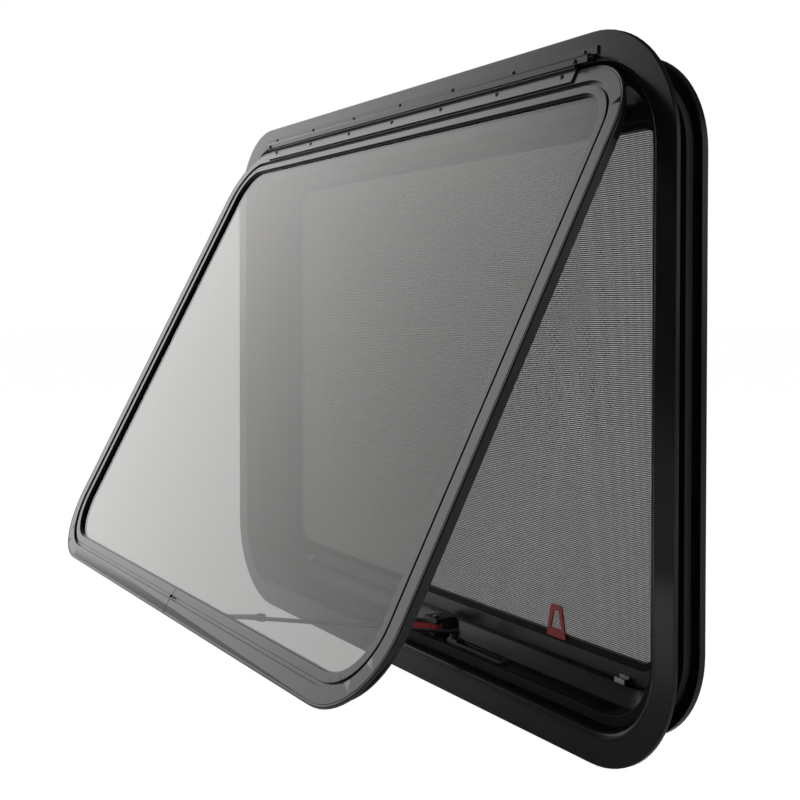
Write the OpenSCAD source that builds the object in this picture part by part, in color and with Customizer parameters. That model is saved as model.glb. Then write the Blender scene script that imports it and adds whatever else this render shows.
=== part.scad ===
// Top-hung push-out caravan window, seen with its sash propped open.
// X runs to the right as seen from outside, Y into the caravan, Z up.
// The origin lies on the flange's rear seat, at the middle of its bottom run.
// Sizes are in millimetres.

/* [Outer frame] */

// Overall width of the flange
frame_w = 915; // [600:5:1200]
// Overall height of the flange
frame_h = 664; // [450:1:900]
// Radius of the flange's corners
frame_r = 108; // [90:1:160]
// Width of the visible flange face
face_w = 31; // [26:0.5:36]
// Rounding of the flange's inner edge
edge_r = 7; // [6:0.5:9]
// Thickness of the flange at its edge
flange_t = 4.5; // [3.5:0.5:7]
// Wall thickness of the bent profile
wall_t = 2.5; // [2:0.25:3.5]
// Thickness of the caravan wall that the window clamps
clamp_t = 43; // [36:1:45]
// Depth from the flange's seat to the rear lip of the frame
barrel_d = 48; // [46:1:60]
// Distance of the trim ring's edge from the flange's edge
trim_inset = 18.5; // [16:0.5:24]
// Radius of the trim ring's outer corners
trim_r = 94; // [80:1:110]

/* [Sash] */

// How far the sash stands open
open_angle = 27.5; // [0:0.1:45]
// Gap between the flange's edge and the sash at each side
side_gap = 3; // [2:0.5:8]
// Gap at the top
top_gap = 0.7; // [0.5:0.1:3]
// Gap at the bottom
bottom_gap = 0.2; // [0.1:0.1:6]
// Radius of the sash's lower corners
sash_r = 83; // [75:1:100]
// Radius of the sash's upper corners
sash_top_r = 70; // [62:1:100]
// Depth of the sash's side wall
sash_d = 13; // [12:0.5:20]
// How far the sash's lip stands out past its side wall
lip_w = 6; // [3:0.5:8]
// Radius of the side wall's lower corners
wall_r = 87; // [75:1:100]
// Width of the sash's raised outer band
band_w = 16.5; // [16:0.5:18]
// Width of the groove between the outer and the inner band
groove_w = 4; // [3:0.5:6]
// Width of the whole sash rail in front of the glass
rail_w = 29; // [28:0.5:34]
// Thickness of the glass
glass_t = 4; // [3:0.5:6]

/* [Hinge] */

// Height of the hinge axis below the flange's top
axis_drop = 24; // [22:0.5:28]
// Distance of the hinge axis in front of the flange
axis_out = 4; // [4:0.5:6]
// Distance from the end of the flange's corner to the end of the hinge
leaf_gap = 0; // [0:1:60]
// How far the projecting knuckle ends before the leaf does, at each end
knuckle_step = 24; // [12:1:60]
// Distance from the hinge axis to the lower edge of the sash's leaf
sash_leaf_drop = 21; // [18:0.5:26]

/* [Insect screen] */

// Distance of the screen's outer edge from the flange's edge
screen_inset = 60; // [56:1:70]
// Width of the screen's flat bar
bar_w = 16; // [12:0.5:22]
// Width of the cord that holds the mesh
cord_w = 7; // [4:0.5:9]
// Distance from the end of the flange's corner to the middle of each clip
clip_gap = 19.5; // [10:0.5:80]
// Width of the lower clips
clip_w = 14; // [8:0.5:18]
// Distance from the frame's side to the middle of the pull tab
pull_in = 232.5; // [150:0.5:300]
// Height of the pull tab
pull_h = 33; // [26:1:50]

/* [Stay] */

// Length of the track on the sill
track_len = 108; // [80:2:200]
// Place of the stay's pivot on the sill, to the right of the middle
slider_x = 84; // [60:1:140]
// Place of the stay's pivot on the sash
bracket_x = 60; // [40:1:120]
// Width of the stay's bars
arm_w = 10; // [6:0.5:14]
// Depth of the track across the sill
track_d = 11; // [9:0.5:12]

/* [Latch] */

// Place of the latch, to the right of the middle
latch_x = 36; // [-60:1:50]
// Length of the lever
lever_len = 36; // [24:1:50]

/* [Hidden] */

$fn = 48;

black = [0.05, 0.05, 0.055];
rubber = [0.02, 0.02, 0.02];
glass_c = [0.35, 0.38, 0.4, 0.45];
mesh_c = [0.45, 0.46, 0.47];
steel = [0.7, 0.71, 0.72];
red = [0.75, 0.08, 0.06];

seat_u = 27;
bottom_z = -seat_u;
top_z = frame_h - seat_u;
mid_z = frame_h / 2 - seat_u;

// The stop behind the sash, the inner barrel and the rear lip
stop_u = 45;
stop_y = 12;
lip_y = barrel_d;
ring_y = lip_y + wall_t;
plate_t = 2;
plate_y = lip_y - 0.5;
channel_w = 8;
channel_d = 8.2;
channel_t = 1.5;

axis_y = -flange_t - axis_out;
axis_z = top_z - axis_drop;
sash_w = frame_w - 2 * (face_w + side_gap);
// The sash's lip nests in the rounded inner edge of the flange
nest = edge_r - sqrt(edge_r * edge_r - (edge_r - 3) * (edge_r - 3));
sash_h = frame_h - 2 * (face_w - nest) - top_gap - bottom_gap;
sash_top = face_w - nest + top_gap - axis_drop;
sash_mid = sash_top + sash_h / 2;

skin_t = 1.8;
lip_t = 3;
glass_u = 17;
glass_v = 5;
web_u = 14;
gasket_w = 1.5;
wall_top_r = wall_r - sash_r + sash_top_r;

screen_y = ring_y + 3.5;
screen_t = 6;
mesh_u = screen_inset + bar_w;
clip_x = frame_w / 2 - frame_r - clip_gap;
pull_x = frame_w / 2 - pull_in;

leaf_len = frame_w - 2 * (frame_r + leaf_gap);
knuckle_len = leaf_len - 2 * knuckle_step;
knuckle_h = 8.6;
tongue_r = 2.5;
neck_t = 1.6;
neck_drop = 7;
sash_leaf_t = 2;
splice_len = 80;

// Swept rings, made of straight runs and quarter turns
module corner_turn(r) {
    rotate_extrude(angle = 90)
        translate([r, 0])
            mirror([1, 0])
                children();
}

module straight_run(len, reach) {
    translate([-len / 2, 0, 0])
        rotate([90, 0, 90])
            linear_extrude(len)
                translate([reach, 0])
                    mirror([1, 0])
                        children();
}

// r is the radius of the lower corners and top_r that of the upper ones
module flat_ring(w, h, r, top_r) {
    straight_run(w - 2 * r, h / 2) children();
    rotate([0, 0, 180]) straight_run(w - 2 * top_r, h / 2) children();
    for (k = [-90, 90])
        translate([0, (top_r - r) / 2, 0])
            rotate([0, 0, k])
                straight_run(h - r - top_r, w / 2)
                    children();
    translate([w / 2 - r, h / 2 - r, 0]) corner_turn(r) children();
    translate([-w / 2 + r, h / 2 - r, 0]) rotate([0, 0, 90]) corner_turn(r) children();
    translate([-w / 2 + top_r, -h / 2 + top_r, 0])
        rotate([0, 0, 180]) corner_turn(top_r) children();
    translate([w / 2 - top_r, -h / 2 + top_r, 0])
        rotate([0, 0, 270]) corner_turn(top_r) children();
}

// A ring in the window's plane, its profile drawn as inset and depth
module ring(w, h, r, top_r) {
    rotate([-90, 0, 0]) flat_ring(w, h, r, top_r) children();
}

module frame_ring() {
    translate([0, 0, mid_z]) ring(frame_w, frame_h, frame_r, frame_r) children();
}

module rounded_rect(w, h, r) {
    square([w - 2 * r, h], center = true);
    square([w, h - 2 * r], center = true);
    for (x = [-1, 1], y = [-1, 1])
        translate([x * (w / 2 - r), y * (h / 2 - r)]) circle(r, $fn = 96);
}

// A flat sheet in the window's plane
module sheet(w, h, r, t) {
    rotate([90, 0, 0])
        translate([0, 0, -t])
            linear_extrude(t)
                rounded_rect(w, h, r);
}

// Everything that swings with the sash, drawn closed about the hinge axis
module swung() {
    translate([0, axis_y, axis_z])
        rotate([-open_angle, 0, 0])
            children();
}

module sash_ring() {
    swung()
        translate([0, axis_out, -sash_mid])
            ring(sash_w, sash_h, sash_r, sash_top_r)
                children();
}

// A prism along X, its section drawn as Y and Z
module along_x(len) {
    translate([-len / 2, 0, 0])
        rotate([90, 0, 90])
            linear_extrude(len)
                children();
}

// Outer frame, with a channel along its barrel that the trim's screws bite into
module screw_channel() {
    difference() {
        square([channel_w + 0.5, channel_d]);
        translate([channel_t, channel_t])
            square([channel_w - channel_t, channel_d - 2 * channel_t]);
        translate([channel_w / 2 - 1.2, channel_d / 2]) square([2.4, channel_d]);
    }
}

module frame_section() {
    difference() {
        union() {
            translate([1, -flange_t]) square([face_w - edge_r - 1, flange_t]);
            translate([0, -flange_t + 1]) square([3, flange_t - 1]);
            translate([1, -flange_t + 1]) circle(1);
            translate([face_w - edge_r, -flange_t + edge_r]) circle(edge_r);
        }
        translate([3, -1.5]) square([20, 3]);
        translate([face_w - 2 * edge_r - 1, 0])
            square([2 * edge_r + 1 - wall_t, 2 * edge_r]);
        translate([face_w - 2 * edge_r - 1, edge_r - flange_t])
            square([2 * edge_r + 2, 2 * edge_r]);
    }
    translate([face_w - wall_t, edge_r - flange_t - 0.5])
        square([wall_t, stop_y + wall_t - edge_r + flange_t + 0.5]);
    translate([face_w - wall_t, stop_y]) square([stop_u - face_w + wall_t, wall_t]);
    translate([stop_u - wall_t, stop_y]) square([wall_t, lip_y + wall_t - stop_y]);
    translate([stop_u - wall_t, lip_y]) square([screen_inset - stop_u + wall_t, wall_t]);
    translate([stop_u - wall_t - channel_w, plate_y - channel_d]) screw_channel();
    polygon([[stop_u - 0.5, lip_y - 15], [stop_u + 1, lip_y - 15],
             [screen_inset, lip_y - 1.5], [screen_inset, lip_y + 0.5],
             [screen_inset - 2, lip_y + 0.5], [stop_u - 0.5, lip_y - 13]]);
}

module outer_frame() {
    color(black) frame_ring() frame_section();
}

module wall_seal() {
    color(rubber) frame_ring() translate([3, -1.5]) square([20, 1.5]);
}

module frame_seal() {
    color(rubber)
        frame_ring()
            translate([face_w + 2, stop_y - 3])
                difference() {
                    union() {
                        translate([0, 1.5]) square([11, 1.5]);
                        translate([1.5, 0]) square([8, 3]);
                        translate([1.5, 1.5]) circle(1.5);
                        translate([9.5, 1.5]) circle(1.5);
                    }
                    translate([3.5, 0.8]) square([4, 1.2]);
                }
}

// Inner trim ring, which clamps the wall and carries the screen
riser_u = stop_u - wall_t - 2.5;

module trim_section() {
    translate([riser_u, plate_y]) square([plate_t, ring_y + plate_t - plate_y]);
    translate([riser_u, ring_y]) square([screen_inset - riser_u, plate_t]);
    translate([screen_inset - plate_t, ring_y])
        square([plate_t, screen_y + screen_t - ring_y]);
}

module trim_edge_section() {
    translate([0, clamp_t]) square([plate_t, plate_y + plate_t - clamp_t]);
    translate([0, plate_y]) square([riser_u + 0.4 - trim_inset, plate_t]);
}

module trim_ring() {
    color(black) {
        frame_ring() trim_section();
        translate([0, 0, mid_z])
            ring(frame_w - 2 * trim_inset, frame_h - 2 * trim_inset, trim_r, trim_r)
                trim_edge_section();
    }
}

// Sash: a raised outer band with a bead at its edge, a groove and a lower inner band
module sash_section() {
    difference() {
        union() {
            translate([1.5, 0]) square([band_w - 1.5, skin_t]);
            translate([1.5, 1.5]) circle(1.5);
            translate([0, 1.5]) square([lip_w + 2, lip_t - 1.5]);
        }
        translate([2.4, -1]) square([0.8, 1.5]);
    }
    translate([band_w - 1.5, 0.5]) square([1.5, glass_v - 0.9]);
    translate([band_w - 1.5, glass_v - 1.9]) square([groove_w + 3, 1.5]);
    translate([band_w + groove_w, 1.7]) square([1.5, glass_v - 2.1]);
    translate([band_w + groove_w + 0.5, 1.2]) square([rail_w - band_w - groove_w - 1, 1.5]);
    translate([band_w + groove_w + 0.5, 1.7]) circle(0.5);
    translate([rail_w - 0.5, 1.7]) circle(0.5);
    translate([rail_w - 1.5, 1.7]) square([1.5, glass_v - 2.2]);
    translate([web_u, 1]) square([2, sash_d - 1]);
    translate([lip_w + 2, sash_d - 2]) square([web_u - lip_w, 2]);
    translate([web_u + 1, glass_v + glass_t + 1])
        square([rail_w - web_u, sash_d - glass_v - glass_t - 1]);
}

module sash_wall_section() {
    translate([0, lip_t - 1]) square([2, sash_d - lip_t + 1]);
    translate([0, sash_d - 2]) square([web_u - lip_w, 2]);
}

module sash_wall_ring() {
    swung()
        translate([0, axis_out, -sash_mid])
            ring(sash_w - 2 * lip_w, sash_h - 2 * lip_w, wall_r, wall_top_r)
                children();
}

module sash_frame() {
    color(black) {
        sash_ring() sash_section();
        sash_wall_ring() sash_wall_section();
    }
}

// The splice sits in the rail's hollow, across the butt joint
module sash_splice() {
    color(steel)
        swung()
            translate([-splice_len / 2, axis_out + lip_t + 0.3, -sash_top - sash_h + lip_w + 2.3])
                cube([splice_len, sash_d - lip_t - 2.6, web_u - lip_w - 2.6]);
}

module glass_pane() {
    color(glass_c)
        swung()
            translate([0, axis_out + glass_v, -sash_mid])
                sheet(sash_w - 2 * glass_u, sash_h - 2 * glass_u, sash_r - glass_u, glass_t);
}

module outer_gasket() {
    color(rubber)
        sash_ring() {
            translate([band_w + groove_w + 1.7, glass_v - 0.3])
                square([rail_w - band_w - groove_w + gasket_w - 1.7, 0.3]);
            translate([rail_w + 0.1, glass_v - 1.4]) square([gasket_w - 0.1, 1.4]);
        }
}

module inner_gasket() {
    color(rubber)
        sash_ring()
            translate([glass_u + 1, glass_v + glass_t]) square([rail_w - glass_u, 1]);
}

// Hinge: a hooked socket on the frame and a round tongue on the sash
module knuckle_section() {
    difference() {
        translate([-knuckle_h / 2, -knuckle_h / 2]) square([knuckle_h / 2 + axis_out, knuckle_h]);
        circle(tongue_r + 0.2);
        polygon([[0, 0], [2.6, -7], [-2, -8], [-7, -6], [-8, -3.4]]);
    }
}

module hinge_frame_leaf() {
    color(black) {
        translate([0, -flange_t, axis_z + knuckle_h / 2 - 0.1])
            along_x(leaf_len)
                translate([-2, 0]) square([2, axis_drop - knuckle_h / 2 - 10]);
        translate([0, axis_y, axis_z])
            along_x(knuckle_len)
                knuckle_section();
    }
}

module hinge_sash_leaf() {
    color(black)
        swung() {
            along_x(knuckle_len - 8) {
                circle(tongue_r);
                translate([-neck_t / 2, -neck_drop]) square([neck_t, neck_drop]);
            }
            along_x(knuckle_len + 14) {
                translate([-neck_t / 2, -neck_drop - 0.2]) square([axis_out + neck_t / 2, 1.7]);
                translate([axis_out - sash_leaf_t, -sash_leaf_drop])
                    square([sash_leaf_t, sash_leaf_drop - neck_drop]);
            }
        }
}

// Insect screen
module screen_section() {
    difference() {
        translate([screen_inset, screen_y]) square([bar_w + cord_w + 1, screen_t]);
        translate([mesh_u, screen_y - 1]) square([cord_w + 2, 3]);
        translate([screen_inset + 3, screen_y + 1.5]) square([bar_w - 6, screen_t - 3]);
    }
}

module screen_frame() {
    color(black) frame_ring() screen_section();
}

module screen_mesh() {
    color(mesh_c)
        translate([0, screen_y + 1.6, mid_z])
            sheet(frame_w - 2 * mesh_u, frame_h - 2 * mesh_u, frame_r - mesh_u, 0.4);
}

module screen_cord() {
    color(rubber)
        frame_ring()
            translate([mesh_u, screen_y + 0.2]) square([cord_w, 1.4]);
}

module screen_pull() {
    tab_w = 31;
    color(red)
        translate([pull_x, screen_y, bottom_z + mesh_u + 3])
            rotate([90, 0, 0])
                linear_extrude(1.8)
                    difference() {
                        polygon([[-tab_w / 2, 0], [tab_w / 2, 0],
                                 [tab_w / 4 + 1.5, pull_h - 2], [tab_w / 4 - 0.5, pull_h],
                                 [-tab_w / 4 + 0.5, pull_h], [-tab_w / 4 - 1.5, pull_h - 2]]);
                        polygon([[-tab_w / 4 - 1, 9.5], [tab_w / 4 + 1, 9.5],
                                 [tab_w / 8, pull_h - 6], [-tab_w / 8, pull_h - 6]]);
                    }
}

// The lower clips bridge from the lip to the screen, the upper ones lie on the screen
module low_clip(x) {
    color(steel)
        translate([x - clip_w / 2, lip_y - 2, bottom_z + screen_inset + 0.2])
            union() {
                cube([clip_w, 1.5, 5]);
                translate([0, 0, 3.5]) cube([clip_w, screen_y - lip_y + 2, 1.5]);
                translate([0, screen_y - lip_y + 0.5, 3.5]) cube([clip_w, 1.5, 3.5]);
            }
}

module high_clip(x) {
    color(steel)
        translate([x, screen_y, top_z - screen_inset - bar_w / 2])
            rotate([90, 0, 0])
                linear_extrude(1.5)
                    difference() {
                        circle(5);
                        circle(1.6);
                    }
}

module clip_bottom_left() { low_clip(-clip_x); }
module clip_bottom_right() { low_clip(clip_x); }
module clip_top_left() { high_clip(-clip_x); }
module clip_top_right() { high_clip(clip_x); }

// Latch on the sill
floor_z = bottom_z + stop_u;
slope_y = lip_y - 15;
slope_rise = (screen_inset - stop_u - 1) / (lip_y - 1.5 - slope_y);
base_y = lip_y - 2;
base_top = bottom_z + screen_inset + 3;
hub_y = slope_y - 6.5;
lever_turn = -127;
hub_r = 5.5;
pin_r = 2;

module latch_base() {
    color(black)
        difference() {
            translate([latch_x, 0, 0])
                along_x(26)
                    polygon([[stop_y + wall_t + 1, floor_z], [slope_y, floor_z],
                             [slope_y, floor_z + 1],
                             [base_y, floor_z + 1 + slope_rise * (base_y - slope_y)],
                             [base_y, base_top], [hub_y - 8, base_top],
                             [hub_y - 8, floor_z + 13.5], [slope_y + 0.2, floor_z + 13.5],
                             [slope_y + 0.2, floor_z + 2.5],
                             [stop_y + wall_t + 1, floor_z + 2.5]]);
            translate([latch_x, hub_y, floor_z - 1]) cylinder(h = 40, r = pin_r + 0.15);
        }
}

module at_hub(z) {
    translate([latch_x, hub_y, floor_z + z]) rotate([0, 0, lever_turn]) children();
}

module latch_lever() {
    color(red)
        difference() {
            at_hub(2.7) {
                cylinder(h = 7.3, r = hub_r);
                translate([0, 2, 0])
                    rotate([90, 0, 0])
                        linear_extrude(4)
                            polygon([[0, 0], [lever_len, -0.8], [lever_len - 6, 7.8], [0, 7.3]]);
            }
            at_hub(0) cylinder(h = 20, r = pin_r + 0.15);
        }
}

module latch_hook() {
    color(black)
        at_hub(10.2)
            linear_extrude(3)
                difference() {
                    union() {
                        circle(hub_r);
                        polygon([[0, -4], [23, -12], [26, -7], [21, -5], [2, 5]]);
                    }
                    circle(pin_r + 0.15);
                }
}

module latch_pin() {
    color(steel)
        translate([latch_x, hub_y, floor_z + 0.3]) {
            cylinder(h = base_top - floor_z, r = pin_r);
            translate([0, 0, base_top - floor_z - 0.3]) cylinder(h = 1.5, r = pin_r + 1.5);
        }
}

module latch_keeper() {
    color(black)
        swung()
            translate([-8, axis_out + sash_d, -sash_top - sash_h + lip_w + 2])
                difference() {
                    cube([40, 7, 9]);
                    translate([6, 2, -1]) cube([28, 3.5, 11]);
                }
}

// Stay between the sill and the sash
link_back = 55;
link_side = 15;
track_y = stop_y + wall_t + 0.3;
slot_y = track_y + track_d / 2;
arm_a = [slider_x, slot_y, floor_z + 10];
sash_pin_y = axis_out + sash_d + 11;
sash_pin_s = sash_top + sash_h - 19;
arm_b = [bracket_x,
         axis_y + sash_pin_y * cos(open_angle) - sash_pin_s * sin(open_angle),
         axis_z - sash_pin_y * sin(open_angle) - sash_pin_s * cos(open_angle)];
arm_d = arm_b - arm_a;
arm_flat = sqrt(arm_d[0] * arm_d[0] + arm_d[1] * arm_d[1]);
arm_len = sqrt(arm_flat * arm_flat + arm_d[2] * arm_d[2]);
arm_turn = atan2(arm_d[1], arm_d[0]);
arm_lift = atan2(arm_d[2], arm_flat);

module slot_shape(len, w) {
    translate([w / 2, 0]) circle(w / 2);
    translate([len - w / 2, 0]) circle(w / 2);
    translate([w / 2, -w / 2]) square([len - w, w]);
}

module stay_track() {
    color(black)
        translate([slider_x - 10, slot_y, floor_z])
            linear_extrude(3)
                difference() {
                    slot_shape(track_len, track_d);
                    translate([5, 0]) slot_shape(track_len - 10, 4);
                }
}

module stay_slider() {
    color(black) {
        translate([slider_x - 4, slot_y - 1.8, floor_z + 0.5]) cube([14, 3.6, 3]);
        translate([slider_x - 6, slot_y - 5, floor_z + 3]) cube([18, 10, 2.5]);
        intersection() {
            along_arm() translate([0, 0, -9]) cylinder(h = 9, r = 4.5);
            translate([slider_x - track_len / 2, 0, floor_z + 4]) cube([track_len, clamp_t, clamp_t]);
        }
    }
}

// The arm's own frame: X along it, Z square to its flat side
module along_arm() {
    translate(arm_a)
        rotate([0, 0, arm_turn])
            rotate([0, -arm_lift, 0])
                children();
}

module bar(len, w, t, r) {
    linear_extrude(t)
        difference() {
            union() {
                translate([0, -w / 2]) square([len, w]);
                circle(w / 2);
                translate([len, 0]) circle(w / 2);
            }
            circle(r);
            translate([len, 0]) circle(r);
        }
}

module stay_arm() {
    color(black)
        along_arm()
            difference() {
                bar(arm_len, arm_w, 2.5, 2.6);
                translate([arm_len - link_back, 0, -1]) cylinder(h = 5, r = 2.6);
            }
}

module stay_link() {
    color(black)
        along_arm()
            translate([arm_len - link_back, 0, 2.5])
                rotate([0, 0, atan2(link_side, link_back)])
                    bar(sqrt(link_back * link_back + link_side * link_side), arm_w - 1, 2, 2.6);
}

module rivet(from, to, r) {
    translate([0, 0, from]) cylinder(h = to - from, r = r);
    translate([0, 0, to]) cylinder(h = 1.2, r = r + 2);
}

module stay_slider_pin() {
    color(steel) along_arm() rivet(0, 2.5, 2.5);
}

module stay_link_pin() {
    color(steel)
        along_arm()
            translate([arm_len - link_back, 0, 0]) {
                rivet(0, 4.5, 2.5);
                translate([0, 0, -1.2]) cylinder(h = 1.2, r = 4.5);
            }
}

module stay_sash_pin() {
    color(steel) along_arm() translate([arm_len, 0, 0]) rivet(0, 2.5, 2.5);
}

module stay_link_end_pin() {
    color(steel) along_arm() translate([arm_len, link_side, 0]) rivet(2.5, 4.5, 2.5);
}

module stay_bracket() {
    plate_w = link_side + 16;
    color(black) {
        swung()
            translate([bracket_x - 22, axis_out + sash_d, -sash_top - sash_h + 12])
                cube([plate_w + 25, 3, 15]);
        intersection() {
            along_arm() {
                translate([arm_len - 8, -8, -2]) cube([plate_w, plate_w, 2]);
                translate([arm_len, link_side, -1]) cylinder(h = 3.5, r = 4.5);
            }
            swung()
                translate([bracket_x - 2 * plate_w, axis_out + sash_d + 1, -sash_top - sash_h])
                    cube([4 * plate_w, 2 * plate_w, 2 * plate_w]);
        }
    }
}

outer_frame();
wall_seal();
frame_seal();
trim_ring();
sash_frame();
sash_splice();
glass_pane();
outer_gasket();
inner_gasket();
hinge_frame_leaf();
hinge_sash_leaf();
screen_frame();
screen_mesh();
screen_cord();
screen_pull();
clip_bottom_left();
clip_bottom_right();
clip_top_left();
clip_top_right();
latch_base();
latch_lever();
latch_hook();
latch_pin();
latch_keeper();
stay_track();
stay_slider();
stay_arm();
stay_link();
stay_slider_pin();
stay_link_pin();
stay_sash_pin();
stay_link_end_pin();
stay_bracket();
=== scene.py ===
# %% [markdown]
# # A top-hung caravan window
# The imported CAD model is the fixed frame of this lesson: every extrusion, lever and pin is there at its
# real size, in metres. What is added here is what makes it look like the real window: its camera, its
# light, its finishes, its screws and the net of its insect screen.

# %% Load the frame and keep the size of the CAD model
import math

import bmesh
import bpy
from mathutils import Euler, Matrix, Vector


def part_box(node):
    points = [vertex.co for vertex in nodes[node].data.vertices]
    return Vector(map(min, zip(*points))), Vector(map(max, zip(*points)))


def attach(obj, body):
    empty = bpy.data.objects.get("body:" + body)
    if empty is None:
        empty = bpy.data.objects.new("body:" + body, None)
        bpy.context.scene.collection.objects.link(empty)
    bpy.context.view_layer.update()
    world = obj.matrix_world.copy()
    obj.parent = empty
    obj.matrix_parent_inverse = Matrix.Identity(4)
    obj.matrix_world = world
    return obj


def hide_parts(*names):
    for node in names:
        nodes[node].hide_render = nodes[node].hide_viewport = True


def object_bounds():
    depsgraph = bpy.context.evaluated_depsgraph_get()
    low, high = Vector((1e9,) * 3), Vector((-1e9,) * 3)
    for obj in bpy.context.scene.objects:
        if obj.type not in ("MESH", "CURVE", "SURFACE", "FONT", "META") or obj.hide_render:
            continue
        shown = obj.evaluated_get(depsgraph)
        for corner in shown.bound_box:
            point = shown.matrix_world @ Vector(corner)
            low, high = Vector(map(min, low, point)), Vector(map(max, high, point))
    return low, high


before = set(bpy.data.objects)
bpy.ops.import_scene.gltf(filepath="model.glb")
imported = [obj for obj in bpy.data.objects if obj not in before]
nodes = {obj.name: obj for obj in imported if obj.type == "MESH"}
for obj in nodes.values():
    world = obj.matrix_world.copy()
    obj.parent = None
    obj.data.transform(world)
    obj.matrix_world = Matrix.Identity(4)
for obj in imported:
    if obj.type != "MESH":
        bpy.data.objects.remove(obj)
cad_box = [list(corner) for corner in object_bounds()]
MM = 0.001
print("nodes:", len(nodes), "box:", [[round(v, 4) for v in corner] for corner in cad_box])

# %% [markdown]
# ## Sizes that the pieces share
# The hinge axis lies in front of the flange, near its top. All that swings with the sash is drawn closed
# and then turned about that axis, in the same way as the solids are, so a screw or a joint is placed by its
# distances on the closed sash and needs no angle of its own.

# %% Sizes of the window, in metres
FRAME_W, FRAME_H, CORNER_R = 0.915, 0.664, 0.108
SEAT_U = 0.027
MIDDLE_Z = FRAME_H / 2 - SEAT_U
AXIS_FORWARD, AXIS_BELOW_TOP = 0.0085, 0.024
AXIS = Vector((0, -AXIS_FORWARD, FRAME_H - SEAT_U - AXIS_BELOW_TOP))
OPEN_ANGLE = math.radians(27.5)
SASH_OUT, SASH_TOP, SASH_H = 0.004, 0.00645, 0.6036
swing = Matrix.Translation(AXIS) @ Matrix.Rotation(-OPEN_ANGLE, 4, "X")


def on_sash(x, depth, drop):
    """A point of the open sash: its place across, its depth behind the face, its drop below the axis."""
    return swing @ Vector((x, SASH_OUT + depth, -drop))


print("bottom of the open sash:", [round(v, 4) for v in on_sash(0, 0, SASH_TOP + SASH_H)])

# %% [markdown]
# ## The camera
# The window was photographed from outside, from its right and a little below its top. The flange and the
# sash are both rounded rectangles, so the lens and the place of the camera could be fitted until the two
# outlines fell where they do in the picture. The camera looks down by one degree, and the frame of the
# picture is shifted a little, as in a picture that was cropped after it was taken.

# %% Make the camera
PICTURE, FILM = 800, 36
CAMERA_PLACE = (1.2166, -0.7152, 0.3834)
FOCAL_PX, CENTRE_ROW = 1223.4, 333.8
TURN, PITCH, ROLL = math.radians(30.42), math.radians(-1.0), math.radians(0.09)
bpy.ops.object.select_all(action="DESELECT")
bpy.ops.object.camera_add(location=CAMERA_PLACE)
camera = bpy.context.object
forward = Vector((-math.cos(TURN) * math.cos(PITCH), math.sin(TURN) * math.cos(PITCH), math.sin(PITCH)))
camera.rotation_mode = "QUATERNION"
camera.rotation_quaternion = forward.to_track_quat("-Z", "Y") @ Euler((0, 0, ROLL)).to_quaternion()
camera.data.sensor_width = FILM
camera.data.lens = FOCAL_PX / PICTURE * FILM
camera.data.shift_y = (CENTRE_ROW - PICTURE / 2) / PICTURE
camera.data.clip_start = 0.01
bpy.context.scene.camera = camera
print("lens:", round(camera.data.lens, 2), "mm")

# %% [markdown]
# ## Steps of arithmetic in a node tree
# The room, the floor and the finishes are all trees of small nodes. A node takes several lines to make and
# to link, so each kind that repeats gets a helper. It takes plain numbers or the outputs of other nodes,
# and gives its own output.


# %% Helpers for node trees
def arithmetic(tree, kind, *values):
    """One step of arithmetic, on numbers and on the outputs of other nodes."""
    node = tree.nodes.new("ShaderNodeMath")
    node.operation = kind
    for socket, value in zip(node.inputs, values):
        if isinstance(value, (int, float)):
            socket.default_value = value
        else:
            tree.links.new(value, socket)
    return node.outputs[0]


def vectors(tree, kind, first, second=None):
    """One step of vector arithmetic, on the output of another node and a fixed vector."""
    node = tree.nodes.new("ShaderNodeVectorMath")
    node.operation = kind
    tree.links.new(first, node.inputs[0])
    if second is not None:
        node.inputs[1].default_value = second
    single = kind in ("LENGTH", "DISTANCE", "DOT_PRODUCT")
    return node.outputs["Value" if single else "Vector"]


def moved(tree, value, span, ends, kind="LINEAR"):
    """A number moved from one span to another, evenly or with the soft ends of SMOOTHSTEP."""
    node = tree.nodes.new("ShaderNodeMapRange")
    node.interpolation_type = kind
    for name, number in zip(("From Min", "From Max", "To Min", "To Max"), (*span, *ends)):
        node.inputs[name].default_value = number
    tree.links.new(value, node.inputs["Value"])
    return node.outputs["Result"]


def looks_straight(tree, path):
    """1 for a ray from the camera or through the glass that no gloss has turned, and 0 for the rest."""
    sight = arithmetic(tree, "MAXIMUM", path.outputs["Is Camera Ray"], path.outputs["Is Transmission Ray"])
    unturned = arithmetic(tree, "LESS_THAN", path.outputs["Glossy Depth"], 0.5)
    return arithmetic(tree, "MULTIPLY", sight, unturned)


# %% [markdown]
# ## The studio
# A dark satin window shows little colour of its own: it shows the room that it mirrors. The background of
# the photograph is plain white, and yet the coat is nearly black at the right and the glass is pale only at
# the left, so the room that gloss mirrors isn't the white that the camera sees. The world has two faces for
# that. The camera, and what looks straight through the glass, sees white. Gloss and diffuse light see a dim
# room with one broad bright wall at the left and a dimmer one at the right. Both walls fall off softly,
# because the glass would show an edge as a line.


# %% World
def wall(tree, place, towards, edge, strengths):
    """The light of a soft round wall, from the cosine of the angle to the direction that it stands in."""
    cosine = vectors(tree, "DOT_PRODUCT", place, Vector(towards).normalized())
    return moved(tree, cosine, edge, strengths, "SMOOTHSTEP")


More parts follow.
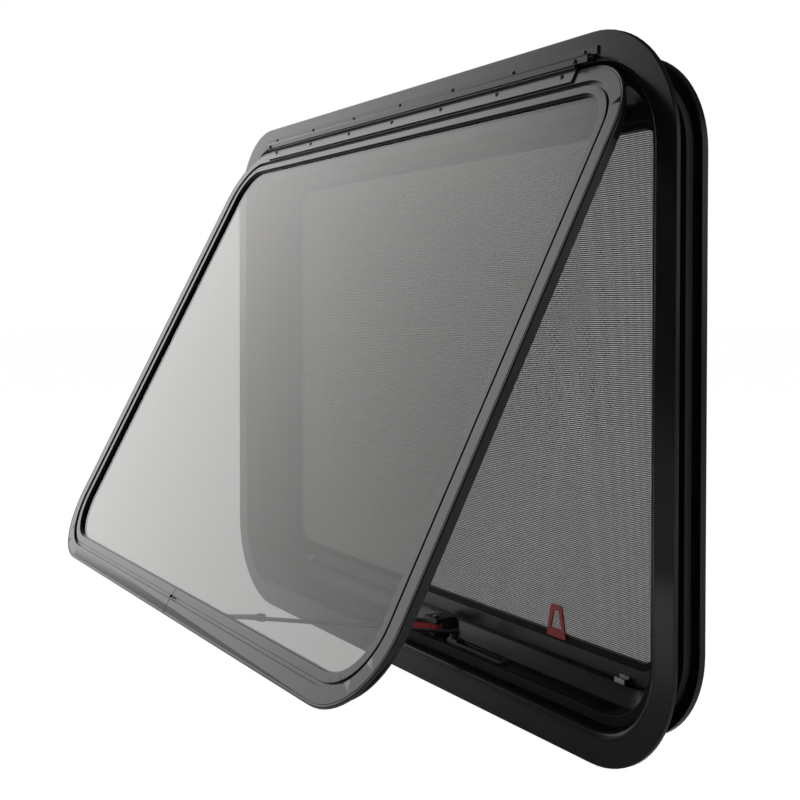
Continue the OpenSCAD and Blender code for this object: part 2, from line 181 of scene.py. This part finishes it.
scene = bpy.context.scene
scene.view_settings.view_transform = "Standard"
world = bpy.data.worlds.new("studio")
scene.world = world
world.use_nodes = True
tree = world.node_tree
tree.nodes.clear()
output = tree.nodes.new("ShaderNodeOutputWorld")
mixer = tree.nodes.new("ShaderNodeMixShader")
room = tree.nodes.new("ShaderNodeBackground")
room.inputs["Color"].default_value = (1.0, 0.985, 0.97, 1)
white = tree.nodes.new("ShaderNodeBackground")
white.inputs["Color"].default_value = (1, 1, 1, 1)
white.inputs["Strength"].default_value = 1.0
place = tree.nodes.new("ShaderNodeTexCoord").outputs["Generated"]
left_wall = wall(tree, place, towards=(-0.92, -0.25, 0.30), edge=(0.875, 0.97), strengths=(0.03, 2.4))
right_wall = wall(tree, place, towards=(0.79, 0.60, 0.05), edge=(0.8, 1.0), strengths=(0.0, 0.6))
tree.links.new(arithmetic(tree, "ADD", left_wall, right_wall), room.inputs["Strength"])
path = tree.nodes.new("ShaderNodeLightPath")
tree.links.new(looks_straight(tree, path), mixer.inputs["Fac"])
tree.links.new(room.outputs[0], mixer.inputs[1])
tree.links.new(white.outputs[0], mixer.inputs[2])
tree.links.new(mixer.outputs[0], output.inputs["Surface"])
print("world:", len(tree.nodes), "nodes")

# %% [markdown]
# ## The floor
# The window stands on a wide pale floor. A chalk floor alone turns grey away from its lamps, so it is mixed
# with a glow: the camera sees mostly the glow, which is white, and the small share of chalk takes the shadow
# under the frame. Gloss sees a glow that fades with the distance from a place at the front left, because in
# the photograph only that side of the window mirrors a bright floor.

# %% Floor
FLOOR_Z = cad_box[0][2] - 0.5 * MM
CHALK, GLOW, GLOW_SHARE = (0.8, 0.8, 0.8, 1), 1.06, 0.93
GLOW_PLACE, GLOW_EDGE, GLOW_ENDS = (-0.9, -0.5, 0), (0.3, 1.35), (0.85, 0.01)
bpy.ops.object.select_all(action="DESELECT")
bpy.ops.mesh.primitive_plane_add(size=60, location=(0, 0, FLOOR_Z))
floor = bpy.context.object
floor.name = "studio_floor"
pale = bpy.data.materials.new("pale_floor")
pale.use_nodes = True
tree = pale.node_tree
tree.nodes.clear()
output = tree.nodes.new("ShaderNodeOutputMaterial")
mixer = tree.nodes.new("ShaderNodeMixShader")
chalk = tree.nodes.new("ShaderNodeBsdfDiffuse")
chalk.inputs["Color"].default_value = CHALK
glow = tree.nodes.new("ShaderNodeEmission")
glow.inputs["Strength"].default_value = GLOW
path = tree.nodes.new("ShaderNodeLightPath")
place = tree.nodes.new("ShaderNodeTexCoord").outputs["Object"]
distance = vectors(tree, "DISTANCE", place, GLOW_PLACE)
fading = moved(tree, distance, GLOW_EDGE, GLOW_ENDS, "SMOOTHSTEP")
in_gloss = arithmetic(tree, "MULTIPLY", path.outputs["Is Glossy Ray"], fading)
either = arithmetic(tree, "MAXIMUM", looks_straight(tree, path), in_gloss)
tree.links.new(arithmetic(tree, "MULTIPLY", either, GLOW_SHARE), mixer.inputs["Fac"])
tree.links.new(chalk.outputs[0], mixer.inputs[1])
tree.links.new(glow.outputs[0], mixer.inputs[2])
tree.links.new(mixer.outputs[0], output.inputs["Surface"])
floor.data.materials.append(pale)
print("floor at z", round(FLOOR_Z, 4))

# %% [markdown]
# ## The lamps
# Three square softboxes give the direct light: a strong one at the front left, a weak one at the right, and
# one behind, which lights the net and the trim. They are hidden from gloss and from rays through the glass,
# since their outlines would stand in the glass as sharp pale squares.

# %% Lamps
AIM = Vector((0, 0, 0.3))


def lamp(name, at, size, power):
    """A square softbox that looks at the middle of the window."""
    bpy.ops.object.select_all(action="DESELECT")
    bpy.ops.object.light_add(type="AREA", location=at)
    light = bpy.context.object
    light.name = name
    light.data.size = size
    light.data.energy = power
    light.visible_glossy = False
    light.visible_transmission = False
    light.rotation_mode = "QUATERNION"
    light.rotation_quaternion = (AIM - Vector(at)).to_track_quat("-Z", "Y")
    print(name, power, "W")


lamp("softbox_left", (-2.6, -1.6, 2.2), 1.8, 55)
lamp("softbox_right", (2.6, -0.6, 1.4), 1.6, 18)
lamp("softbox_back", (0.6, 2.6, 1.8), 1.8, 25)

# %% [markdown]
# ## Finishes
# A finish is a small tree of nodes on one principled shader. Its patterns could be painted pictures, but
# these are worked out from Object coordinates: every piece's object stands at the origin, so they keep
# their scale in metres, and nothing has to be unwrapped.


# %% Helpers for finishes
def finish_of(name, colour, rough, metal=0.0, spec=0.5):
    """A new material with one principled shader."""
    mat = bpy.data.materials.new(name)
    mat.use_nodes = True
    shader = mat.node_tree.nodes["Principled BSDF"]
    shader.inputs["Base Color"].default_value = (*colour, 1)
    shader.inputs["Roughness"].default_value = rough
    shader.inputs["Metallic"].default_value = metal
    shader.inputs["Specular IOR Level"].default_value = spec
    print("finish:", name)
    return mat.node_tree, shader


def place_of(tree, stretch=(1, 1, 1)):
    """Object coordinates, stretched."""
    coords = tree.nodes.new("ShaderNodeTexCoord")
    mapping = tree.nodes.new("ShaderNodeMapping")
    mapping.inputs["Scale"].default_value = stretch
    tree.links.new(coords.outputs["Object"], mapping.inputs["Vector"])
    return mapping.outputs["Vector"]


def noise(tree, at, scale, detail=3.0):
    """A cloudy pattern from 0 to 1."""
    node = tree.nodes.new("ShaderNodeTexNoise")
    node.inputs["Scale"].default_value = scale
    node.inputs["Detail"].default_value = detail
    tree.links.new(at, node.inputs["Vector"])
    return node.outputs["Fac"]


def colour_by(tree, fac, shader, stops):
    """Gives the shader a colour that runs with fac, from a list of (place, colour)."""
    node = tree.nodes.new("ShaderNodeValToRGB")
    for element, (place, colour) in zip(node.color_ramp.elements, stops):
        element.position = place
        element.color = (*colour, 1)
    tree.links.new(fac, node.inputs["Fac"])
    tree.links.new(node.outputs["Color"], shader.inputs["Base Color"])


def rough_by(tree, fac, shader, low, high):
    """Gives the shader a roughness that runs with fac."""
    tree.links.new(moved(tree, fac, (0, 1), (low, high)), shader.inputs["Roughness"])


def bump(tree, height, shader, distance, strength):
    """A fine relief, too shallow to model."""
    node = tree.nodes.new("ShaderNodeBump")
    node.inputs["Distance"].default_value = distance
    node.inputs["Strength"].default_value = strength
    tree.links.new(height, node.inputs["Height"])
    tree.links.new(node.outputs["Normal"], shader.inputs["Normal"])


def grey(value):
    """A colour without hue."""
    return (value, value, value)


def wear(name, *pieces):
    """Puts a finish on CAD nodes or pieces."""
    for piece in pieces:
        target = nodes[piece] if isinstance(piece, str) else piece
        target.data.materials.clear()
        target.data.materials.append(bpy.data.materials[name])


# %% [markdown]
# ## Powder coat
# The profiles are coated in satin black powder, which flows out in the oven to a skin with a very fine
# orange peel. So the gloss is soft, with a roughness that wanders a little, and a relief of a few
# hundredths of a millimetre breaks it up.


# %% Powder coat
def powder_coat(name, rough):
    """Satin black coat."""
    tree, shader = finish_of(name, grey(0.009), rough)
    at = place_of(tree)
    cloud = noise(tree, at, 9)
    colour_by(tree, cloud, shader, [(0.3, (0.0085, 0.008, 0.008)), (0.7, (0.0115, 0.0108, 0.0105))])
    rough_by(tree, cloud, shader, rough - 0.03, rough + 0.03)
    bump(tree, noise(tree, at, 900, 2.0), shader, 0.04 * MM, 0.25)
    return tree, shader


powder_coat("powder_coat", 0.3)

# %% [markdown]
# In the photograph the frame's coat is much duller inside the opening than on the flat of the flange. The
# cause isn't known, so the finish only follows the place. The border is the rounded rectangle at which the
# flat ends, and the distance from a smaller, sharp rectangle finds it, as for a rounded box.

# %% Coat of the frame
FLAT_BEGINS, FLAT_FULL = 0.0815, 0.086
DULL, GLOSSY = 0.1, 0.45
tree, shader = powder_coat("frame_coat", 0.2)
at = place_of(tree)
from_middle = vectors(tree, "ABSOLUTE", vectors(tree, "SUBTRACT", at, (0, 0, MIDDLE_Z)))
core = (FRAME_W / 2 - CORNER_R, 0, FRAME_H / 2 - CORNER_R)
past_core = vectors(tree, "MAXIMUM", vectors(tree, "SUBTRACT", from_middle, core), (0, 0, 0))
reach = vectors(tree, "LENGTH", vectors(tree, "MULTIPLY", past_core, (1, 0, 1)))
gloss = moved(tree, reach, (FLAT_BEGINS, FLAT_FULL), (DULL, GLOSSY))
tree.links.new(gloss, shader.inputs["Specular IOR Level"])
print("the flat begins", round(CORNER_R - FLAT_BEGINS, 4), "m inside the flange's edge")

# %% [markdown]
# Round the barrel, just before the trim, runs a channel, as such frames have one for the trim's screws. Its
# side that faces the right catches the light from the right and is lighter than all that is round it. That
# light is painted: a lighter colour is laid on that side, which is found by its depth behind the flange and
# by its distance from the same rectangle. The cause isn't known here either, so a paler colour is laid on
# that side, which is found by its depth behind the flange and by its distance from the same rectangle.

# %% Painted light on the lit side of the screw channel
CHANNEL_DEPTH, CHANNEL_HALF = 43.4 * MM, 4 * MM
CHANNEL_REACH, REACH_SLACK = 73.7 * MM, 1 * MM
parts = tree.nodes.new("ShaderNodeSeparateXYZ")
tree.links.new(at, parts.inputs["Vector"])
lit_band_depth = arithmetic(tree, "COMPARE", parts.outputs["Y"], CHANNEL_DEPTH, CHANNEL_HALF)
lit_band_reach = arithmetic(tree, "COMPARE", reach, CHANNEL_REACH, REACH_SLACK)
# Painted light: a lighter base colour is mixed in where the right-facing side of the channel catches the
# light.
painted_channel_light = tree.nodes.new("ShaderNodeMix")
painted_channel_light.data_type = "RGBA"
painted_channel_light.inputs["B"].default_value = (0.052, 0.05, 0.05, 1)
tree.links.new(arithmetic(tree, "MULTIPLY", lit_band_depth, lit_band_reach), painted_channel_light.inputs["Factor"])
tree.links.new(shader.inputs["Base Color"].links[0].from_socket, painted_channel_light.inputs["A"])
tree.links.new(painted_channel_light.outputs["Result"], shader.inputs["Base Color"])
print("frame coat:", len(tree.nodes), "nodes")

# %% [markdown]
# ## Rubber, plastics and metals
# The seals are dull rubber, and the outer gasket of the glass is a smoother one. The latch's base and the
# stay's slider are moulded black plastic, the lever and the pull tab red, each with a fine moulded grain.
# The bright steel and the plain aluminium have a roughness in fine streaks, as from drawing and rolling.

# %% Rubber, plastics and metals
for name, level, rough, spec, grain, strength in (
    ("rubber", 0.006, 0.7, 0.25, 1500, 0.4),
    ("satin_rubber", 0.009, 0.32, 0.5, 1100, 0.25),
):
    tree, shader = finish_of(name, grey(level), rough, spec=spec)
    bump(tree, noise(tree, place_of(tree), grain, 2.0), shader, 0.04 * MM, strength)
tree, shader = finish_of("black_plastic", grey(0.009), 0.42)
bump(tree, noise(tree, place_of(tree), 1200, 2.0), shader, 0.05 * MM, 0.5)
tree, shader = finish_of("red_plastic", (0.34, 0.014, 0.016), 0.36)
at = place_of(tree)
colour_by(tree, noise(tree, at, 60), shader, [(0.3, (0.31, 0.012, 0.014)), (0.7, (0.38, 0.017, 0.019))])
bump(tree, noise(tree, at, 1400, 2.0), shader, 0.04 * MM, 0.4)
for name, level, rough, stretch, scale, low, high in (
    ("bright_steel", 0.5, 0.24, (1, 1, 30), 160, 0.18, 0.36),
    ("blackened_steel", 0.05, 0.3, (1, 1, 1), 700, 0.22, 0.42),
    ("mill_aluminium", 0.72, 0.32, (1, 20, 20), 120, 0.25, 0.42),
):
    tree, shader = finish_of(name, grey(level), rough, metal=1.0)
    rough_by(tree, noise(tree, place_of(tree, stretch), scale), shader, low, high)

# %% [markdown]
# ## Glass
# The pane is grey through and through. Light is tinted at both of its faces, and the colour is set
# so that what comes through is about as dark as in the photograph. The index of 1.27 is lower than a real
# pane's: a higher one mirrors the room more strongly than the photograph shows.

# %% Glass
tree, shader = finish_of("tinted_glass", (0.288, 0.29, 0.286), 0.0)
shader.inputs["Transmission Weight"].default_value = 1.0
shader.inputs["IOR"].default_value = 1.27

# %% [markdown]
# ## Thread of the insect screen
# The net's thread is grey with a touch of green, and dull. Its tone is only judged, since the threads are
# too thin in the photograph to show their own.

# %% Thread of the insect screen
tree, shader = finish_of("net_thread", (0.140, 0.142, 0.134), 0.6, spec=0.3)
at = place_of(tree)
tones = [(0.35, (0.132, 0.134, 0.126)), (0.65, (0.148, 0.150, 0.141))]
colour_by(tree, noise(tree, at, 35, 2.0), shader, tones)

# %% [markdown]
# ## Who wears what
# The profiles of the frame and its trim have the frame's coat, and what is coated on the sash, the latch,
# the stay and the screen has the plain one. Each node gets one finish, as on the real window.

# %% Finishes on the CAD nodes
wear("frame_coat", "outer_frame", "trim_ring")
wear("powder_coat", "sash_frame", "hinge_frame_leaf", "hinge_sash_leaf",
     "screen_frame", "latch_keeper", "stay_track", "stay_arm", "stay_link", "stay_bracket", "latch_hook")
wear("rubber", "wall_seal", "frame_seal", "inner_gasket", "screen_cord")
wear("satin_rubber", "outer_gasket")
wear("black_plastic", "latch_base", "stay_slider")
wear("red_plastic", "latch_lever", "screen_pull")
wear("bright_steel", "clip_bottom_left", "clip_bottom_right", "latch_pin")
wear("blackened_steel", "clip_top_left", "clip_top_right", "stay_slider_pin", "stay_link_pin",
     "stay_sash_pin", "stay_link_end_pin")
wear("mill_aluminium", "sash_splice")
wear("tinted_glass", "glass_pane")
wear("net_thread", "screen_mesh")
print("nodes with a finish:", sum(1 for node in nodes.values() if node.data.materials))

# %% [markdown]
# ## Softened edges
# No real edge is a mathematical line: the coat draws back from it and leaves a small round that catches
# the light. The CAD nodes are loose triangles, so their doubles are welded and then a narrow bevel goes
# on every edge that is sharper than 40 degrees. Both are modifiers, and the meshes stay as they came.

# %% Bevels on the CAD nodes
EDGE_ROUND = 0.25 * MM


def soften(node, width):
    """Rounds the sharp edges of a CAD node."""
    piece = nodes[node]
    weld = piece.modifiers.new("weld", "WELD")
    weld.merge_threshold = 0.01 * MM
    bevel = piece.modifiers.new("soft_edges", "BEVEL")
    bevel.width = width
    bevel.segments = 2
    bevel.limit_method = "ANGLE"
    bevel.angle_limit = math.radians(40)
    bevel.use_clamp_overlap = True
    bevel.harden_normals = False


for node in ("outer_frame", "sash_frame", "hinge_sash_leaf", "screen_frame", "latch_base", "latch_lever",
             "latch_hook", "latch_keeper", "stay_track", "stay_slider", "stay_arm", "stay_link",
             "stay_bracket", "screen_pull", "clip_bottom_left", "clip_bottom_right"):
    soften(node, EDGE_ROUND)
print("softened nodes:", sum(1 for node in nodes.values() if node.modifiers.get("soft_edges")))

# %% [markdown]
# ## Tools for new pieces
# A piece is finished when its modifiers are applied, it carries its finish and it rides on the one body of
# the window. What repeats is made once, at the origin and looking up, and each copy gets its own mesh.


# %% Helpers for pieces
def select_only(*pieces):
    """Selects these pieces and nothing else, and makes the last one active."""
    bpy.ops.object.select_all(action="DESELECT")
    for piece in pieces:
        piece.select_set(True)
        bpy.context.view_layer.objects.active = piece


def edit_all():
    """Opens edit mode with all of the mesh selected."""
    bpy.ops.object.mode_set(mode="EDIT")
    bpy.ops.mesh.select_all(action="SELECT")


def finish_piece(piece, finish, smooth=35):
    """The last steps for every new piece."""
    select_only(piece)
    bpy.ops.object.transform_apply(location=True, rotation=True, scale=True)
    bpy.ops.object.shade_smooth_by_angle(angle=math.radians(smooth))
    wear(finish, piece)
    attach(piece, "root")
    print(piece.name, len(piece.data.polygons), "faces")
    return piece


def copies_of(template, name, places):
    """One piece made of copies of a template, one at each place."""
    copies = []
    for place in places:
        copy = bpy.data.objects.new(name, template.data.copy())
        copy.data.transform(place)
        bpy.context.collection.objects.link(copy)
        copies.append(copy)
    select_only(*copies)
    bpy.ops.object.join()
    joined = bpy.context.view_layer.objects.active
    joined.name = name
    return joined


def facing(point, outward):
    """A place at a point, for a template that looks along outward."""
    return Matrix.Translation(point) @ Vector(outward).to_track_quat("Z", "Y").to_matrix().to_4x4()


def discard(template):
    """Deletes a template once its copies are made."""
    bpy.data.objects.remove(template, do_unlink=True)


# %% [markdown]
# ## Screw heads
# Two kinds of head show on this window. A flat one starts as a short cylinder: its top is inset and raised
# to round the rim, inset again and sunk for the socket. A domed one starts as a sphere that is cut in half
# and flattened, with the cap pushed in. The recess is real, so the heads catch light as the real ones do.


# %% Helpers for screw heads
def select_top(piece, above):
    """In edit mode, selects the faces that look up and lie above a height."""
    mesh = bmesh.from_edit_mesh(piece.data)
    for face in mesh.faces:
        face.select_set(face.normal.z > 0.9 and face.calc_center_median().z > above)
    bmesh.update_edit_mesh(piece.data)


def screw_head(radius, height, recess):
    """A flat round head with a rounded rim and a socket."""
    bpy.ops.object.select_all(action="DESELECT")
    bpy.ops.mesh.primitive_cylinder_add(vertices=20, radius=radius, depth=height,
                                        location=(0, 0, height / 2))
    head = bpy.context.object
    bpy.ops.object.mode_set(mode="EDIT")
    bpy.ops.mesh.select_mode(type="FACE")
    select_top(head, 0)
    bpy.ops.mesh.inset(thickness=radius * 0.12)
    bpy.ops.transform.translate(value=(0, 0, height * 0.18))
    bpy.ops.mesh.inset(thickness=radius * 0.34)
    bpy.ops.mesh.extrude_region_move(TRANSFORM_OT_translate={"value": (0, 0, -recess)})
    bpy.ops.transform.resize(value=(0.8, 0.8, 1), center_override=(0, 0, 0))
    bpy.ops.object.mode_set(mode="OBJECT")
    bpy.ops.object.transform_apply(location=True, rotation=True, scale=True)
    return head


def domed_head(radius, height):
    """A low button head with a small socket."""
    bpy.ops.object.select_all(action="DESELECT")
    bpy.ops.mesh.primitive_uv_sphere_add(segments=24, ring_count=12, radius=radius)
    head = bpy.context.object
    edit_all()
    bpy.ops.mesh.bisect(plane_co=(0, 0, 0), plane_no=(0, 0, 1), use_fill=True, clear_inner=True)
    bpy.ops.mesh.select_all(action="SELECT")
    bpy.ops.transform.resize(value=(1, 1, height / radius), center_override=(0, 0, 0))
    bpy.ops.mesh.select_mode(type="FACE")
    select_top(head, height * 0.8)
    bpy.ops.mesh.extrude_region_move(TRANSFORM_OT_translate={"value": (0, 0, -height * 0.3)})
    bpy.ops.object.mode_set(mode="OBJECT")
    return head


# %% [markdown]
# ## The hinge rail
# On the real window the frame's half of the hinge is one extrusion along the top of the flange: a thin leaf
# that is screwed to the flange, and below it a hooked socket that the sash's round tongue hangs in. Its two
# sections are drawn point by point about the hinge axis, with the socket's round as an arc, and extruded
# along X. The leaf is a little longer than the socket, as in the photograph, so the two are bars of their
# own that are joined.

# %% Hinge rail
SOCKET_R = 2.75
LEAF_END, SOCKET_END = 0.3575, 0.3512
leaf_outline = [(4.0, 10.2), (2.3, 10.2), (2.0, 9.9), (2.0, 2.6), (4.0, 2.6)]
hook = [(SOCKET_R * math.cos(math.radians(a)), SOCKET_R * math.sin(math.radians(a)))
        for a in range(198, -66, -12)]
socket_outline = (
    [(4.0, 3.5), (-2.5, 3.5), (-4.3, 1.5), (-4.3, -4.1), (-3.6, -4.1), (-3.3, -2.4)]
    + hook + [(2.0, -4.0), (2.3, -4.3), (4.0, -4.3)]
)


def extruded_bar(name, outline, half):
    """A bar along X, from a section in the Y and Z of the hinge axis, in millimetres."""
    mesh = bpy.data.meshes.new(name)
    shape = bmesh.new()
    corners = [shape.verts.new(AXIS + Vector((0, y, z)) * MM - Vector((half, 0, 0))) for y, z in outline]
    shape.faces.new(corners)
    shape.to_mesh(mesh)
    shape.free()
    bar = bpy.data.objects.new(name, mesh)
    bpy.context.collection.objects.link(bar)
    select_only(bar)
    edit_all()
    bpy.ops.mesh.extrude_region_move(TRANSFORM_OT_translate={"value": (2 * half, 0, 0)})
    bpy.ops.mesh.select_all(action="SELECT")
    bpy.ops.mesh.normals_make_consistent(inside=False)
    bpy.ops.object.mode_set(mode="OBJECT")
    return bar


leaf = extruded_bar("leaf", leaf_outline, LEAF_END)
socket = extruded_bar("hinge_rail", socket_outline, SOCKET_END)
select_only(leaf, socket)
bpy.ops.object.join()
hinge_rail = bpy.context.object
rounding = hinge_rail.modifiers.new("rounding", "BEVEL")
rounding.width = 0.15 * MM
rounding.segments = 2
rounding.limit_method = "ANGLE"
rounding.angle_limit = math.radians(50)
bpy.ops.object.modifier_apply(modifier="rounding")
finish_piece(hinge_rail, "powder_coat", smooth=18)
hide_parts("hinge_frame_leaf")

# %% [markdown]
# ## Screws of the hinge
# Seven screws hold each leaf, and a domed screw near each end of the socket keeps the sash from sliding
# out of it. Their places were read from the photograph through the camera above and evened out. All heads
# of a row are copies of one, joined, since they are the same part.

# %% Hinge screws
FRAME_SCREWS = [-0.3250, -0.2140, -0.1030, 0.0080, 0.1190, 0.2295, 0.3400]
SASH_SCREWS = [-0.3140, -0.2093, -0.1047, 0.0, 0.1047, 0.2093, 0.3140]
LOCK_SCREWS = [-0.3335, 0.3337]
ON_LEAF, ON_SOCKET = Vector((0, 2.1, 6.3)) * MM, Vector((0, -4.2, -2.0)) * MM
SASH_LEAF_OUT, SASH_SCREW_DROP = 1.9 * MM, 12.5 * MM
outward = Vector((0, -1, 0))
outward_sash = swing.to_3x3() @ outward


def across(x):
    """A step along the hinge."""
    return Vector((x, 0, 0))


head = screw_head(2.3 * MM, 0.8 * MM, 0.75 * MM)
frame_screws = copies_of(head, "frame_leaf_screws",
                         [facing(AXIS + ON_LEAF + across(x), outward) for x in FRAME_SCREWS])
finish_piece(frame_screws, "blackened_steel")
sash_places = [on_sash(x, -SASH_LEAF_OUT, SASH_SCREW_DROP) for x in SASH_SCREWS]
sash_screws = copies_of(head, "sash_leaf_screws",
                        [facing(place, outward_sash) for place in sash_places])
finish_piece(sash_screws, "blackened_steel")
discard(head)
head = domed_head(2.9 * MM, 1.7 * MM)
lock_screws = copies_of(head, "hinge_lock_screws",
                        [facing(AXIS + ON_SOCKET + across(x), outward) for x in LOCK_SCREWS])
finish_piece(lock_screws, "blackened_steel")
discard(head)

# %% [markdown]
# ## The joint of the sash
# The sash is one extrusion, bent round and butted at the middle of its bottom rail. The joint shows as a
# hairline across the rail. A cut would need the solid's mesh changed, so a copy of that mesh is cut down to
# a slice 0.8 mm wide there, grown by a tenth of a millimetre and darkened: the line follows every step of
# the section.

# %% Sash joint
SLICE_HALF, ABOVE_RAIL = 0.4 * MM, 0.2
joint = bpy.data.objects.new("sash_joint", nodes["sash_frame"].data.copy())
bpy.context.collection.objects.link(joint)
select_only(joint)
edit_all()
bpy.ops.mesh.remove_doubles(threshold=0.01 * MM)
for plane_co, plane_no in (
    ((-SLICE_HALF, 0, 0), (-1, 0, 0)),
    ((SLICE_HALF, 0, 0), (1, 0, 0)),
    ((0, 0, ABOVE_RAIL), (0, 0, 1)),
):
    bpy.ops.mesh.select_all(action="SELECT")
    bpy.ops.mesh.bisect(plane_co=plane_co, plane_no=plane_no, use_fill=True, clear_outer=True)
bpy.ops.mesh.select_all(action="SELECT")
bpy.ops.mesh.normals_make_consistent(inside=False)
bpy.ops.transform.shrink_fatten(value=0.1 * MM)
bpy.ops.object.mode_set(mode="OBJECT")
finish_piece(joint, "rubber")

# %% [markdown]
# The two ends don't quite meet in the groove of the rail and leave a small notch, which is dark with shade.
# A real notch would cut the solid, so a small block of dark rubber with bevelled edges stands in for it, set
# in the groove against the rail: its dark colour is painted shade, the shade inside the notch.

# %% Painted shade of the notch at the joint
NOTCH, NOTCH_STRETCH = 1.6 * MM, (1.3, 1.5, 1.8)
NOTCH_PLACE = on_sash(-0.8 * MM, 0.8 * MM, 590.5 * MM)
# Painted shade: a dark block stands in for the shade inside the notch.
bpy.ops.object.select_all(action="DESELECT")
bpy.ops.mesh.primitive_cube_add(size=NOTCH)
notch_shade_block = bpy.context.object
notch_shade_block.name = "joint_notch_shade"
edit_all()
bpy.ops.transform.resize(value=NOTCH_STRETCH, center_override=(0, 0, 0))
bpy.ops.mesh.bevel(offset=0.2 * MM, segments=2)
bpy.ops.object.mode_set(mode="OBJECT")
notch_shade_block.data.transform(Matrix.Translation(NOTCH_PLACE) @ swing.to_3x3().to_4x4())
finish_piece(notch_shade_block, "rubber")

# %% [markdown]
# ## Screws of the trim and the latch
# On such windows the trim ring is clamped to the frame from inside the caravan, by screws that run into the
# channel along the barrel. The back isn't in the photograph, so their number, twenty, and their places are
# guessed: four stand in the corners, on the bend, the others at an even pitch on the straight runs. The two
# small bright screws of the latch show in the photograph as glints only, and are guessed from those.

# %% Trim and latch screws
INSET, TRIM_BACK = 0.036, 0.0494
PITCH_ALONG, PITCH_UP = 0.14, 0.16
side_x, side_z = FRAME_W / 2 - INSET, FRAME_H / 2 - INSET
bend = (CORNER_R - INSET) * math.sqrt(0.5)
bend_x, bend_z = FRAME_W / 2 - CORNER_R + bend, FRAME_H / 2 - CORNER_R + bend
spots = [(i * PITCH_ALONG, MIDDLE_Z + side * side_z) for side in (-1, 1) for i in range(-2, 3)]
spots += [(side * side_x, MIDDLE_Z + i * PITCH_UP) for side in (-1, 1) for i in range(-1, 2)]
spots += [(i * bend_x, MIDDLE_Z + j * bend_z) for i in (-1, 1) for j in (-1, 1)]
head = screw_head(3.4 * MM, 1.2 * MM, 1.2 * MM)
trim_screws = copies_of(head, "trim_screws",
                        [facing(Vector((x, TRIM_BACK, z)), (0, 1, 0)) for x, z in spots])
finish_piece(trim_screws, "blackened_steel")
discard(head)
head = screw_head(1.7 * MM, 0.7 * MM, 0.7 * MM)
low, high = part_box("latch_base")
latch_screws = copies_of(head, "latch_screws", [
    facing(Vector((x, high[1] - 6 * MM, high[2] - 0.1 * MM)), (0, 0, 1))
    for x in (low[0] + 4 * MM, high[0] - 4 * MM)
])
finish_piece(latch_screws, "bright_steel")
discard(head)

# %% [markdown]
# ## The net of the insect screen
# The real net is a weave of thin grey threads. A picture with holes would be quicker, but each thread is
# modelled, because the holes are what lets the light through from any side. One upright and one level thread
# are made as flat bars with six sides, and an array repeats each across the screen. The level row just lies
# before the upright one, since the weave itself is too fine to see. The corners of the net end inside the
# screen's frame. Pitch and width are set to how open the net looks in the photograph.

# %% Insect net
WARP_PITCH, WEFT_PITCH, THREAD_W, THREAD_T = 1.6 * MM, 2.0 * MM, 1.1 * MM, 0.32 * MM
low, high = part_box("screen_mesh")
net_middle = [(a + b) / 2 for a, b in zip(low, high)]


def thread(name, upright, pitch, width):
    """A row of parallel threads."""
    length = (high[2] - low[2]) if upright else (high[0] - low[0])
    bpy.ops.object.select_all(action="DESELECT")
    bpy.ops.mesh.primitive_cylinder_add(vertices=6, radius=width / 2, depth=length)
    row = bpy.context.object
    row.name = name
    edit_all()
    bpy.ops.transform.resize(value=(1, THREAD_T / width, 1), center_override=(0, 0, 0))
    if upright:
        first = (low[0] + pitch / 2, net_middle[1] + THREAD_T / 2, net_middle[2])
        span = high[0] - low[0]
    else:
        bpy.ops.transform.rotate(value=math.pi / 2, orient_axis="Y", center_override=(0, 0, 0))
        first = (net_middle[0], net_middle[1] - THREAD_T / 2, low[2] + pitch / 2)
        span = high[2] - low[2]
    bpy.ops.transform.translate(value=first)
    bpy.ops.object.mode_set(mode="OBJECT")
    array = row.modifiers.new("row", "ARRAY")
    array.use_relative_offset = False
    array.use_constant_offset = True
    array.constant_offset_displace = (pitch, 0, 0) if upright else (0, 0, pitch)
    array.count = int(span / pitch)
    bpy.ops.object.modifier_apply(modifier="row")
    return row


warp = thread("warp", True, WARP_PITCH, THREAD_W)
weft = thread("insect_net", False, WEFT_PITCH, THREAD_W * WEFT_PITCH / WARP_PITCH)
select_only(warp, weft)
bpy.ops.object.join()
insect_net = finish_piece(bpy.context.object, "net_thread")
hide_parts("screen_mesh")
